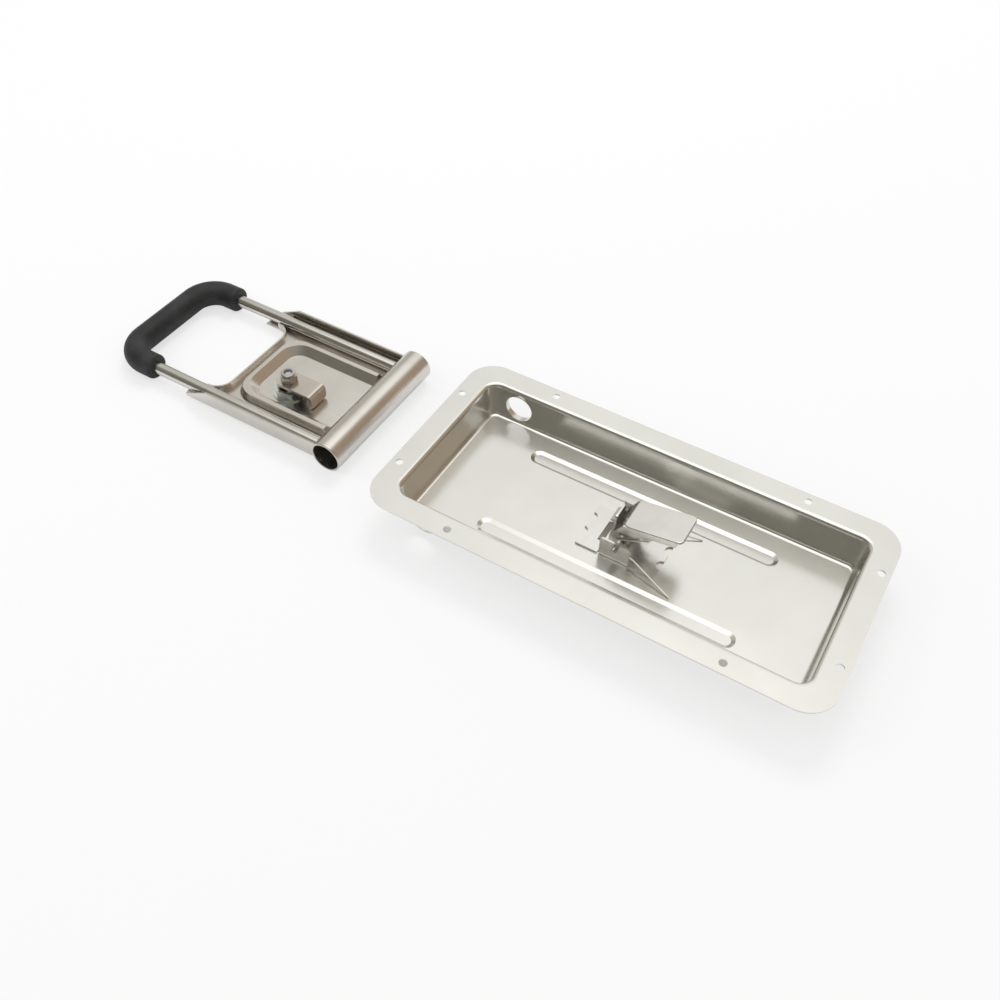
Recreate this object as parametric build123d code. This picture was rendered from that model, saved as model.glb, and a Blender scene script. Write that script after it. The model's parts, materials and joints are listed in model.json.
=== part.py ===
from build123d import *

import os
from math import asin, atan2, cos, degrees, hypot, radians, sin, sqrt, tan

# Recessed paddle latch for a door locking bar, in millimetres.
# A pressed pan carries a sprung paddle with a hook; a pressed handle with a pivot tube,
# a covered grip and a cylinder lock lies face down beside it, on the same surface.
# Origin: middle of the pan's screw pattern, on the back face of the flange. +Z points out
# of the door, +X along the pan and away from the bar holes, +Y across it.

# ---------------------------------------------------------------- pan: driving dimensions
FLANGE_RIM = 19.0
FLANGE_CORNER = 22.0
PAN_SHEET = 1.2
MOUTH_LENGTH = 300.0
MOUTH_WIDTH = 130.0
MOUTH_CORNER = 9.0
LIP_RADIUS = 3.4
PAN_DEPTH = 29.0
WALL_DRAFT = 4.4
FLOOR_RADIUS = 3.0
BEAD_LENGTH = 197.0
BEAD_WIDTH = 14.0
BEAD_DEPTH = 1.5
BEAD_SLOPE = 62.0
BEAD_OFFSET = 39.0
SCREW_HOLE = 5.6
LONG_SIDE_SPACING = 200.0
LONG_SIDE_EDGE = 7.5
SHORT_SIDE_SPACING = 84.0
SHORT_SIDE_EDGE = 6.5
BAR_DIAMETER = 22.0
BAR_PLACE = -125.0
BAR_DEPTH = 15.5
BAR_HOLE_PLAY = 0.4
COLLAR_HEIGHT = 1.5

# ---------------------------------------------------------------- catch: driving dimensions
CATCH_SHEET = 1.5
BASE_LENGTH = 62.0
BASE_WIDTH = 40.0
BASE_NOTCH = 4.2
BASE_NOTCH_OFFSET = 7.5
BASE_CORNER = 2.0
EAR_START = -12.0
EAR_END = 10.5
EAR_HEIGHT = 18.0
EAR_CORNER = 1.5
EAR_BEND = 2.2
EAR_RELIEF = 1.0
PIN_DIAMETER = 4.5
PIN_HEIGHT = 14.0
PIN_OUTSTAND = 4.5
PIN_HEAD = 7.5
PIN_HEAD_THICK = 1.6
PIN_FIT = 0.02
LEVER_FIT = 0.06
STOP_START = -18.0
STOP_END = -5.5
STOP_WIDTH = 18.0
STOP_HEIGHT = 5.2
STOP_RAMP = 0.45
STOP_CLEAR = 2.0
WINDOW_PLAY = 0.6
LEVER_WIDTH = 27.6
PAD_START = 0.5
PAD_LENGTH = 43.0
PAD_RISE = 32.4
PAD_TILT = 10.0
PAD_CORNER = 4.0
PAD_EDGE = 0.9
LIP_CORNER = 1.5
LIP_DROP = 5.6
HOOK_FACE = -8.3
HOOK_BOTTOM = 9.0
HEEL_WIDTH = 15.0
HEEL_PLAY = 0.2
HOOK_SHOULDER = 17.0
HOOK_NECK = 22.0
HOOK_TOP = 30.0
HOOK_WIDTH_TOP = 15.0
HOOK_CORNER = 2.5
NOSE_REACH = 3.4
NOSE_GAP = 0.5
NOSE_SLOPE = 18.0
NOSE_LIP = 1.0
EYE_WALL = 3.2
LIP_START = 14.0
SPRING_WIRE = 1.2
SPRING_TURNS = 2
SPRING_PITCH = 1.22
SPRING_PLAY = 0.35
COIL_KNUCKLE = 0.02
LEG_KNEE = (13.0, 7.0)
LEG_REACH = 46.0
LEG_SPLAY = 29.0
LEG_BEND = 5.0
LEG_LIFT = 0.05
BAIL_BEND = 2.5
BAIL_REACH = 21.5

# ---------------------------------------------------------------- handle: driving dimensions
TUBE_OUTER = 25.4
TUBE_WALL = 1.5
TUBE_LENGTH = 122.0
TUBE_EDGE = 0.3
HANDLE_PLACE = -222.5
HANDLE_SIDE = 7.4
SHELL_SHEET = 1.5
SHELL_WIDTH = 119.0
SHELL_BEND = 3.2
SIDE_HEIGHT = 14.5
GAP_EDGE = 115.5
GAP_CORNER = 13.5
WING_START = 117.0
WING_ROUND = 6.5
WING_END = 142.0
RIM_HEIGHT = 5.0
RIDGE_HEIGHT = 6.0
RIDGE_WIDTH = 13.0
RIDGE_END = 110.5
RIDGE_START = 17.0
RIDGE_OUTER_SLOPE = 28.0
RIDGE_INNER_SLOPE = 45.0
PANEL_CORNER = 11.0
RIDGE_CORNER_GROWTH = 0.6
RIDGE_START_CORNER = 3.0
WING_LIP = 1.0
ROD_DIAMETER = 10.0
ROD_TO_WALL = 2.6
ROD_TO_RIDGE = 5.4
ROD_PLAY = 0.05
ROD_TO_SIDE = 2.0
GRIP_PLACE = 210.0
GRIP_BEND = 21.0
GRIP_DIAMETER = 20.5
GRIP_END = 176.0
GRIP_FIT = 0.05
GRIP_END_ROUND = 2.0
BEAD_OF_WELD = 2.6
WELD_SINK = 0.8
WELD_RISE = 1.5
WING_WELD = 132.0

# ---------------------------------------------------------------- lock: driving dimensions
LOCK_PLACE = 72.0
LOCK_SIDE = 11.5
LOCK_HEAD = 26.0
LOCK_HEAD_THICK = 2.2
LOCK_HEAD_EDGE = 0.7
LOCK_THREAD = 19.0
LOCK_FLATS = 16.6
LOCK_BODY = 8.8
LOCK_FIT = 0.1
WASHER_OUTER = 28.0
WASHER_THICK = 1.3
NUT_FLATS = 23.0
NUT_HEIGHT = 6.0
NUT_CHAMFER = (0.9, 0.5)
NUT_TURN = 14.0
PLUG_DIAMETER = 13.0
PLUG_FIT = 0.06
PLUG_FACE_INSET = 0.4
DRIVE_SQUARE = 7.6
DRIVE_FIT = 0.05
TAIL_THREAD = 6.4
TAIL_BELOW_TOP = 1.6
TAIL_EDGE = 0.5
KEYWAY_LENGTH = 8.6
KEYWAY_WIDTH = 2.2
KEYWAY_DEPTH = 10.0
WAFER_COUNT = 4
WAFER_THICK = 0.9
WAFER_PITCH = 2.2
WAFER_START = 2.4
WAFER_WIDTH = 6.6
WAFER_PLAY = 0.2
STOP_WASHER = 17.0
STOP_WASHER_THICK = 1.2
STOP_WASHER_STEP = 2.0
STOP_WASHER_GAP = 0.15
CAM_THICK = 2.5
CAM_WIDTH = 18.5
CAM_REACH = 28.0
CAM_DROP = 11.8
CAM_BEND = 3.6
CAM_HEEL = 8.5
CAM_HEEL_CORNER = 3.5
CAM_TIP_CORNER = 3.0
CAM_WASHER = 12.5
CAM_WASHER_THICK = 0.9
NYLOC_FLATS = 12.6
NYLOC_HEIGHT = 6.4
NYLOC_COLLAR = 11.0
NYLOC_COLLAR_HEIGHT = 2.0
NYLOC_COLLAR_ROUND = 0.8
NYLOC_ROLLED = 0.35
NYLOC_MOUTH = 7.6
NYLOC_TURN = 20.0
INSERT_OUTER = 9.4
INSERT_HEIGHT = 1.5
INSERT_PLAY = 0.02

# ---------------------------------------------------------------- places that follow
FLANGE_LENGTH = MOUTH_LENGTH + 2 * FLANGE_RIM
FLANGE_WIDTH = MOUTH_WIDTH + 2 * FLANGE_RIM
LONG_SIDE_HOLES = (LONG_SIDE_SPACING / 2, FLANGE_WIDTH / 2 - LONG_SIDE_EDGE)
SHORT_SIDE_HOLES = (FLANGE_LENGTH / 2 - SHORT_SIDE_EDGE, SHORT_SIDE_SPACING / 2)
ROD_SPACING = SHELL_WIDTH - 2 * (SHELL_SHEET + ROD_TO_WALL) - ROD_DIAMETER
RIDGE_OUTER = ROD_SPACING / 2 - ROD_DIAMETER / 2 - ROD_TO_RIDGE
RIDGE_INNER = RIDGE_OUTER - RIDGE_WIDTH
FACE = PAN_SHEET
FLOOR = FACE - PAN_DEPTH
TABLE = FLOOR - PAN_SHEET - BEAD_DEPTH
BAR_AXIS = FACE - BAR_DEPTH
BAR_HOLE = BAR_DIAMETER + BAR_HOLE_PLAY
PIN_AXIS = FLOOR + PIN_HEIGHT
TUBE_RADIUS = TUBE_OUTER / 2
TUBE_AXIS = TABLE + TUBE_RADIUS
ROD_AXIS = TABLE + GRIP_DIAMETER / 2
SHELL_TOP = ROD_AXIS - ROD_DIAMETER / 2 - ROD_PLAY
SHELL_FRONT = SHELL_TOP - SHELL_SHEET
LOCK_TOP = SHELL_TOP + LOCK_BODY
CLOSED_FRONT = BAR_AXIS + (TUBE_AXIS - SHELL_FRONT)
PLUG_FRONT = SHELL_FRONT - LOCK_HEAD_THICK + PLUG_FACE_INSET
STOP_WASHER_BASE = LOCK_TOP + STOP_WASHER_GAP
CAM_BASE = STOP_WASHER_BASE + STOP_WASHER_THICK
CAM_TOP = CAM_BASE + CAM_THICK
NYLOC_BASE = CAM_TOP + CAM_WASHER_THICK
NYLOC_TOP = NYLOC_BASE + NYLOC_HEIGHT
HANDLE = Location((HANDLE_PLACE, HANDLE_SIDE, 0), (0, 0, 180))
LOCK = HANDLE * Pos(LOCK_PLACE, LOCK_SIDE, 0)


def ring(outer, inner, height):
    """A flat ring or bush standing on its local XY plane."""
    body = Cylinder(outer / 2, height) - Cylinder(inner / 2, 3 * height)
    return Pos(0, 0, height / 2) * body


def hexagon(flats, height, bore):
    """A nut blank with its corners turned off at both ends."""
    blank = extrude(RegularPolygon(flats / 2, 6, major_radius=False), height)
    corner = flats / sqrt(3)
    turned = Pos(0, 0, height / 2) * Cylinder(corner, height)
    turned = chamfer(turned.edges().filter_by(GeomType.CIRCLE), NUT_CHAMFER[0], NUT_CHAMFER[1])
    return (blank & turned) - Cylinder(bore / 2, 4 * height)


def tray(length, width, corner, depth, bottom_radius):
    """A drafted tray, closed and solid, hanging from the face of the flange."""
    mouth = Pos(0, 0, FACE) * RectangleRounded(length, width, corner)
    body = extrude(mouth, -depth, taper=WALL_DRAFT)
    return fillet(body.faces().sort_by(Axis.Z)[0].edges(), bottom_radius)


def floor_bead(grow, depth):
    """One pressed bead of the floor, its sides sloping inwards."""
    top = Pos(0, 0, FLOOR) * SlotOverall(BEAD_LENGTH + 2 * grow, BEAD_WIDTH + 2 * grow)
    return extrude(top, -depth, taper=BEAD_SLOPE)


def edges_round_mouth(body, height):
    """The edges at that height which lie nearer to the mouth than to the flange's rim."""
    long = (MOUTH_LENGTH + FLANGE_RIM) / 2
    wide = (MOUTH_WIDTH + FLANGE_RIM) / 2
    level = body.edges().filter_by_position(Axis.Z, height - 0.01, height + 0.01)
    return [edge for edge in level if abs(edge.center().X) < long and abs(edge.center().Y) < wide]


def recess_pan():
    flange = extrude(RectangleRounded(FLANGE_LENGTH, FLANGE_WIDTH, FLANGE_CORNER), PAN_SHEET)
    outer = tray(
        MOUTH_LENGTH + 2 * PAN_SHEET,
        MOUTH_WIDTH + 2 * PAN_SHEET,
        MOUTH_CORNER + PAN_SHEET,
        PAN_DEPTH + PAN_SHEET,
        FLOOR_RADIUS + PAN_SHEET,
    )
    inner = tray(MOUTH_LENGTH, MOUTH_WIDTH, MOUTH_CORNER, PAN_DEPTH, FLOOR_RADIUS)
    body = flange + outer
    body = fillet(edges_round_mouth(body, 0), LIP_RADIUS - PAN_SHEET)
    body = body - inner
    body = fillet(edges_round_mouth(body, FACE), LIP_RADIUS)
    for side in (-1, 1):
        place = Pos(0, side * BEAD_OFFSET, 0)
        body += place * Pos(0, 0, -PAN_SHEET) * floor_bead(PAN_SHEET * 0.6, BEAD_DEPTH)
        body -= place * floor_bead(0, BEAD_DEPTH)
        body = add_bar_hole(body, side)
    for x in (-1, 1):
        for y in (-1, 1):
            for place in (LONG_SIDE_HOLES, SHORT_SIDE_HOLES):
                body -= Pos(x * place[0], y * place[1], 0) * Cylinder(SCREW_HOLE / 2, 8 * PAN_SHEET)
    return body


def add_bar_hole(body, side):
    """Cuts one bar hole and adds the collar drawn outwards round it."""
    turn = Rot(-90 * side, 0, 0)
    outside = MOUTH_WIDTH / 2 + PAN_SHEET + COLLAR_HEIGHT
    inside = MOUTH_WIDTH / 2 - tan(radians(WALL_DRAFT)) * BAR_DEPTH
    middle = (inside + outside) / 2
    long = outside - inside
    collar = Cylinder(BAR_HOLE / 2 + PAN_SHEET, long)
    collar = Pos(BAR_PLACE, side * middle, BAR_AXIS) * turn * collar
    bore = Pos(BAR_PLACE, side * middle, BAR_AXIS) * turn * Cylinder(BAR_HOLE / 2, 3 * long)
    return body + collar - bore


# ---------------------------------------------------------------- catch
def catch_ears():
    """Both ears and the strip of plate between them, bent from one sheet."""
    outer = Pos(0, EAR_HEIGHT / 2) * Rectangle(BASE_WIDTH, EAR_HEIGHT)
    outer = fillet(outer.vertices().group_by(Axis.Y)[0], EAR_BEND)
    inner = Pos(0, CATCH_SHEET + EAR_HEIGHT / 2) * Rectangle(BASE_WIDTH - 2 * CATCH_SHEET, EAR_HEIGHT)
    inner = fillet(inner.vertices().group_by(Axis.Y)[0], EAR_BEND - CATCH_SHEET)
    body = extrude(Plane.YZ * (outer - inner), EAR_END - EAR_START)
    body = fillet(body.edges().filter_by(Axis.Y).group_by(Axis.Z)[-1], EAR_CORNER)
    return Pos(EAR_START, 0, FLOOR) * body


def stop_window():
    """The opening that the lanced tongue leaves; the tongue stays joined at its root."""
    length = STOP_END - STOP_START + STOP_CLEAR
    face = Pos(STOP_START + length / 2, 0) * Rectangle(length, STOP_WIDTH + 2 * WINDOW_PLAY)
    return Pos(0, 0, FLOOR - CATCH_SHEET) * extrude(face, 3 * CATCH_SHEET)


def catch_base():
    plate = Rectangle(BASE_LENGTH, BASE_WIDTH)
    plate = fillet(plate.vertices(), BASE_CORNER)
    for x in (-1, 1):
        for y in (-1, 1):
            plate -= Pos(x * BASE_LENGTH / 2, y * BASE_NOTCH_OFFSET) * Circle(BASE_NOTCH)
    relief_length = EAR_END - EAR_START + 2 * EAR_RELIEF
    for side in (-1, 1):
        place = Pos((EAR_START + EAR_END) / 2, side * BASE_WIDTH / 2)
        plate -= place * Rectangle(relief_length, 2 * EAR_BEND)
    body = extrude(Pos(0, 0, FLOOR) * plate, CATCH_SHEET) + catch_ears() - stop_window()
    pin_hole = Cylinder(PIN_DIAMETER / 2 + PIN_FIT, 2 * BASE_WIDTH, rotation=(90, 0, 0))
    return body - Pos(0, 0, PIN_AXIS) * pin_hole + stop_tongue()


def stop_tongue():
    """Tongue lanced from the plate and bent up; the hook plate comes down on it."""
    rise = STOP_HEIGHT - CATCH_SHEET
    crest = STOP_START + (STOP_END - STOP_START) * STOP_RAMP
    outline = Polyline(
        (STOP_START, 0),
        (STOP_START, CATCH_SHEET),
        (crest, STOP_HEIGHT),
        (STOP_END, STOP_HEIGHT),
        (STOP_END, rise),
        (crest + CATCH_SHEET / 2, rise),
        (STOP_START + CATCH_SHEET, 0),
        close=True,
    )
    tongue = extrude(Plane.XZ * make_face(outline), STOP_WIDTH / 2, both=True)
    return Pos(0, 0, FLOOR) * tongue


def catch_pivot_pin():
    near = -BASE_WIDTH / 2 - PIN_OUTSTAND
    far = BASE_WIDTH / 2
    shank = Cylinder(PIN_DIAMETER / 2, far - near)
    shank = chamfer(shank.edges().sort_by(Axis.Z)[0], 0.5)
    shank = Pos(0, (near + far) / 2, PIN_AXIS) * Rot(-90, 0, 0) * shank
    head = Cylinder(PIN_HEAD / 2, PIN_HEAD_THICK)
    head = fillet(head.edges().sort_by(Axis.Z)[-1], 0.9)
    head = Pos(0, far + PIN_HEAD_THICK / 2, PIN_AXIS) * Rot(-90, 0, 0) * head
    return shank + head


def lever_point(x, z):
    """A point of the lever's side view, given from its pin axis."""
    return Vector(x, 0, PIN_AXIS + z)


def lever_cheek():
    """One side of the lever: the turned-down lip of the pad runs into the cheek on the pin."""
    tilt = radians(PAD_TILT)
    along = Vector(cos(tilt), 0, sin(tilt))
    down = Vector(sin(tilt), 0, -cos(tilt))
    start = lever_point(PAD_START, PAD_RISE - PIN_HEIGHT)
    eye = PIN_DIAMETER / 2 + EYE_WALL
    corners = [
        lever_point(HOOK_FACE, HOOK_BOTTOM - PIN_HEIGHT),
        lever_point(HOOK_FACE, HOOK_SHOULDER - PIN_HEIGHT),
        start + down * CATCH_SHEET * 0.5,
        start + along * (PAD_LENGTH - PAD_CORNER) + down * CATCH_SHEET * 0.5,
        start + along * (PAD_LENGTH - PAD_CORNER) + down * (LIP_DROP - LIP_CORNER),
        start + along * (PAD_LENGTH - PAD_CORNER - LIP_CORNER) + down * LIP_DROP,
        start + along * LIP_START + down * LIP_DROP,
        lever_point(eye, 0),
        lever_point(0, -eye),
    ]
    outline = make_face(Polyline(*corners, close=True))
    cheek = extrude(outline, CATCH_SHEET / 2, both=True)
    cheek += Pos(0, 0, PIN_AXIS) * Rot(90, 0, 0) * Cylinder(eye, CATCH_SHEET)
    return cheek


def hook_plate():
    """Upright plate between the cheeks: heel on the stop, shoulders, narrow top with the nose."""
    top, half_top = HOOK_TOP, HOOK_WIDTH_TOP / 2
    half, heel = LEVER_WIDTH / 2, HEEL_WIDTH / 2
    foot = STOP_HEIGHT + HEEL_PLAY
    right = [
        (heel, foot),
        (heel, HOOK_BOTTOM),
        (half, HOOK_BOTTOM),
        (half, HOOK_SHOULDER),
        (half_top, HOOK_NECK),
        (half_top, top),
    ]
    left = [(-y, z) for y, z in reversed(right)]
    outline = make_face(Polyline(*right, *left, close=True))
    outline = fillet(outline.vertices().group_by(Axis.Y)[-1], HOOK_CORNER)
    plate = extrude(Plane.YZ * outline, CATCH_SHEET)
    nose_foot = CLOSED_FRONT - FLOOR + NOSE_GAP
    drop = NOSE_REACH * tan(radians(NOSE_SLOPE))
    nose = Polyline(
        (CATCH_SHEET / 2, nose_foot),
        (-NOSE_REACH, nose_foot),
        (-NOSE_REACH, nose_foot + NOSE_LIP),
        (CATCH_SHEET / 2, nose_foot + NOSE_LIP + drop + CATCH_SHEET),
        close=True,
    )
    plate += extrude(Plane.XZ * make_face(nose), half_top - NOSE_LIP, both=True)
    return Pos(HOOK_FACE, 0, FLOOR) * plate


def paddle_lever():
    tilt = Rot(0, -PAD_TILT, 0)
    outline = Pos(PAD_LENGTH / 2, 0) * RectangleRounded(PAD_LENGTH, LEVER_WIDTH, PAD_CORNER)
    pad = extrude(outline, -CATCH_SHEET)
    pad = fillet(pad.faces().sort_by(Axis.Z)[-1].edges(), PAD_EDGE)
    body = Pos(PAD_START, 0, FLOOR + PAD_RISE) * tilt * pad
    for side in (-1, 1):
        body += Pos(0, side * (LEVER_WIDTH - CATCH_SHEET) / 2, 0) * lever_cheek()
    body += hook_plate()
    bore = Cylinder(PIN_DIAMETER / 2 + LEVER_FIT, 2 * LEVER_WIDTH, rotation=(90, 0, 0))
    return body - Pos(0, 0, PIN_AXIS) * bore


def torsion_spring():
    """Coil, floor leg and half of the bail on the near side, mirrored to the far side."""
    coil_radius = PIN_DIAMETER / 2 + SPRING_PLAY + SPRING_WIRE / 2
    tilt = radians(PAD_TILT)
    bail_height = PAD_RISE + (BAIL_REACH - PAD_START) * tan(tilt) - LIP_DROP / cos(tilt)
    bail_height = bail_height - PIN_HEIGHT - SPRING_WIRE / 2 - SPRING_PLAY
    reach = hypot(BAIL_REACH, bail_height)
    bail_angle = degrees(atan2(bail_height, BAIL_REACH) - asin(coil_radius / reach))
    turns = SPRING_TURNS + (270 - (bail_angle + 90)) / 360
    length = turns * SPRING_PITCH
    near = -(LEVER_WIDTH / 2 + SPRING_PLAY + SPRING_WIRE / 2) - length
    coil = Rot(-90, 0, 0) * Rot(0, 0, 90) * Helix(SPRING_PITCH, length, coil_radius)
    coil = Pos(0, near, PIN_AXIS) * coil
    leg = FilletPolyline(
        coil @ 0,
        (LEG_KNEE[0], near, FLOOR + LEG_KNEE[1]),
        (LEG_REACH, -LEG_SPLAY, FLOOR + SPRING_WIRE / 2 + LEG_LIFT),
        radius=LEG_BEND,
    )
    corner = Vector(BAIL_REACH, near + length, PIN_AXIS + bail_height)
    bail = FilletPolyline(coil @ 1, corner, Vector(BAIL_REACH, 0, corner.Z), radius=BAIL_BEND)
    body = None
    for path in (coil, leg, bail):
        section = Plane(origin=path @ 0, z_dir=path % 0) * Circle(SPRING_WIRE / 2)
        piece = sweep(section, path=path, is_frenet=path is coil)
        body = piece if body is None else body + piece
    for joint in (coil @ 0, coil @ 1):
        body += Pos(*joint) * Sphere(SPRING_WIRE / 2 + COIL_KNUCKLE)
    return body + mirror(body, Plane.XZ)


# ---------------------------------------------------------------- handle
def tube_space(play):
    """What the pivot tube takes up, with some play round it."""
    space = Cylinder(TUBE_RADIUS + play, 2 * TUBE_LENGTH, rotation=(90, 0, 0))
    return Pos(0, 0, TUBE_AXIS) * space


def pivot_tube():
    bore = TUBE_OUTER - 2 * TUBE_WALL
    tube = Cylinder(TUBE_OUTER / 2, TUBE_LENGTH) - Cylinder(bore / 2, 2 * TUBE_LENGTH)
    tube = chamfer(tube.edges().filter_by(GeomType.CIRCLE), TUBE_EDGE)
    return HANDLE * Pos(0, 0, TUBE_AXIS) * Rot(90, 0, 0) * tube


def u_path(start):
    """Centre line of the bar, from one leg round the grip to the other."""
    half = ROD_SPACING / 2
    return FilletPolyline(
        (start, -half, ROD_AXIS),
        (GRIP_PLACE, -half, ROD_AXIS),
        (GRIP_PLACE, half, ROD_AXIS),
        (start, half, ROD_AXIS),
        radius=GRIP_BEND,
    )


def u_solid(start, diameter):
    path = u_path(start)
    section = Plane(origin=path @ 0, z_dir=path % 0) * Circle(diameter / 2)
    return sweep(section, path=path)


def handle_u_bar():
    return HANDLE * (u_solid(TUBE_RADIUS / 2, ROD_DIAMETER) - tube_space(ROD_PLAY))


def grip_sleeve():
    outer = u_solid(GRIP_END, GRIP_DIAMETER)
    ends = outer.edges().group_by(Axis.X)[0]
    outer = fillet(ends, GRIP_END_ROUND)
    return HANDLE * (outer - u_solid(GRIP_END - 1, ROD_DIAMETER + 2 * GRIP_FIT))


def gap_face(grow):
    """The finger gap in plan, open towards the grip."""
    inner_side = ROD_SPACING / 2 - ROD_DIAMETER / 2 - ROD_TO_SIDE
    length = 2 * (WING_END - GAP_EDGE)
    face = RectangleRounded(length + 2 * grow, 2 * (inner_side + grow), GAP_CORNER + grow)
    return Pos(GAP_EDGE + length / 2, 0) * face


def ridge(spread, base, height):
    """The U-shaped ridge as a solid form; spread moves both flanks into the metal."""
    outer_length = RIDGE_END - RIDGE_START - 2 * spread
    outer_width = 2 * (RIDGE_OUTER - spread)
    far_corner = PANEL_CORNER + RIDGE_WIDTH * RIDGE_CORNER_GROWTH - spread
    outline = Pos((RIDGE_START + RIDGE_END) / 2, 0) * Rectangle(outer_length, outer_width)
    outline = fillet(outline.vertices().group_by(Axis.X)[-1], far_corner)
    outline = fillet(outline.vertices().group_by(Axis.X)[0], RIDGE_START_CORNER)
    form = extrude(Pos(0, 0, base) * outline, height, taper=RIDGE_OUTER_SLOPE)
    inner_end = RIDGE_END - RIDGE_WIDTH
    panel_length = 2 * inner_end + 2 * spread
    panel = RectangleRounded(panel_length, 2 * (RIDGE_INNER + spread), PANEL_CORNER + spread)
    panel = extrude(Pos(0, 0, base) * panel, height + 0.01, taper=-RIDGE_INNER_SLOPE)
    return form - panel


def shell_channel():
    """Flat sheet with both sides turned up; the sides run out to nothing along the wings."""
    height = SIDE_HEIGHT
    outer = Pos(0, height / 2) * Rectangle(SHELL_WIDTH, height)
    outer = fillet(outer.vertices().group_by(Axis.Y)[0], SHELL_BEND)
    inner = Pos(0, SHELL_SHEET + height / 2) * Rectangle(SHELL_WIDTH - 2 * SHELL_SHEET, height)
    inner = fillet(inner.vertices().group_by(Axis.Y)[0], SHELL_BEND - SHELL_SHEET)
    body = extrude(Plane.YZ * (outer - inner), WING_END)
    side = Polyline(
        (0, 0),
        (WING_END, 0),
        (WING_END, SHELL_SHEET + WING_LIP),
        (WING_START, height),
        (0, height),
        close=True,
    )
    body &= extrude(Plane.XZ * make_face(side), SHELL_WIDTH, both=True)
    plan = Pos(0, 0) * Rectangle(2 * WING_END, SHELL_WIDTH)
    plan = fillet(plan.vertices().group_by(Axis.X)[-1], WING_ROUND)
    body &= extrude(plan, height)
    return Pos(0, 0, SHELL_FRONT) * body


def lock_hole():
    """Round hole with two flats that keeps the lock body from turning."""
    size = LOCK_THREAD + 2 * LOCK_FIT
    return Circle(size / 2) & Rectangle(2 * size, LOCK_FLATS + 2 * LOCK_FIT)


def handle_shell():
    body = shell_channel()
    rim = extrude(Pos(0, 0, SHELL_TOP - 0.5) * gap_face(SHELL_SHEET), RIM_HEIGHT + 0.5)
    rim_length = GAP_CORNER + SHELL_SHEET
    rim_box = Pos(GAP_EDGE - SHELL_SHEET + rim_length / 2, 0, ROD_AXIS)
    body += rim & (rim_box * Box(rim_length, 2 * SHELL_WIDTH, 6 * RIM_HEIGHT))
    body += ridge(0, SHELL_TOP - 0.2, RIDGE_HEIGHT + 0.2)
    body -= extrude(Pos(0, 0, TABLE) * gap_face(0), 4 * SIDE_HEIGHT)
    body -= ridge(SHELL_SHEET * 0.5, SHELL_FRONT - 0.01, RIDGE_HEIGHT)
    body -= Pos(LOCK_PLACE, LOCK_SIDE, TABLE) * extrude(lock_hole(), 3 * SIDE_HEIGHT)
    return HANDLE * (body - tube_space(2 * ROD_PLAY))


def weld_beads():
    """Weld metal at the tube, at the ridge ends and where the wings hold the bar."""
    solids = []
    shell = HANDLE.inverse() * handle_shell()
    bar = HANDLE.inverse() * handle_u_bar()
    half = ROD_SPACING / 2
    ridge_middle = (RIDGE_OUTER + RIDGE_INNER) / 2
    touch = sqrt(TUBE_RADIUS**2 - (TUBE_AXIS - SHELL_TOP - RIDGE_HEIGHT / 2) ** 2)
    for side in (-1, 1):
        spots = [
            (touch + BEAD_OF_WELD / 2, side * ridge_middle, SHELL_TOP + RIDGE_HEIGHT / 2),
            (TUBE_RADIUS + WELD_SINK, side * (half - ROD_DIAMETER / 2 + WELD_SINK), ROD_AXIS + WELD_RISE),
            (WING_WELD, side * (half + ROD_DIAMETER / 2 + WELD_SINK), ROD_AXIS - 2 * WELD_RISE),
        ]
        for spot in spots:
            bead = Pos(*spot) * Sphere(BEAD_OF_WELD) - tube_space(ROD_PLAY) - shell - bar
            solids.append(max(bead.solids(), key=lambda solid: solid.volume))
    return Compound(children=[HANDLE * solid for solid in solids])


# ---------------------------------------------------------------- lock
def lock_body_section(play):
    """Threaded body seen from its end: round with two flats."""
    return Circle(LOCK_THREAD / 2 - play) & Rectangle(2 * LOCK_THREAD, LOCK_FLATS - 2 * play)


def lock_housing():
    head = Pos(0, 0, SHELL_FRONT - LOCK_HEAD_THICK / 2) * Cylinder(LOCK_HEAD / 2, LOCK_HEAD_THICK)
    head = chamfer(head.edges().sort_by(Axis.Z)[0], LOCK_HEAD_EDGE)
    body = extrude(Pos(0, 0, SHELL_FRONT) * lock_body_section(0), LOCK_TOP - SHELL_FRONT)
    bore = Pos(0, 0, SHELL_FRONT) * Cylinder(PLUG_DIAMETER / 2 + PLUG_FIT, 6 * LOCK_BODY)
    return LOCK * (head + body - bore)


def lock_washer():
    return LOCK * Pos(0, 0, SHELL_TOP) * ring(WASHER_OUTER, LOCK_THREAD + 2 * LOCK_FIT, WASHER_THICK)


def lock_nut():
    nut = hexagon(NUT_FLATS, NUT_HEIGHT, LOCK_THREAD + LOCK_FIT)
    return LOCK * Pos(0, 0, SHELL_TOP + WASHER_THICK) * Rot(0, 0, NUT_TURN) * nut


def wafer_places():
    """Heights of the wafers' lower faces, front to back."""
    return [PLUG_FRONT + WAFER_START + n * WAFER_PITCH for n in range(WAFER_COUNT)]


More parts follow.
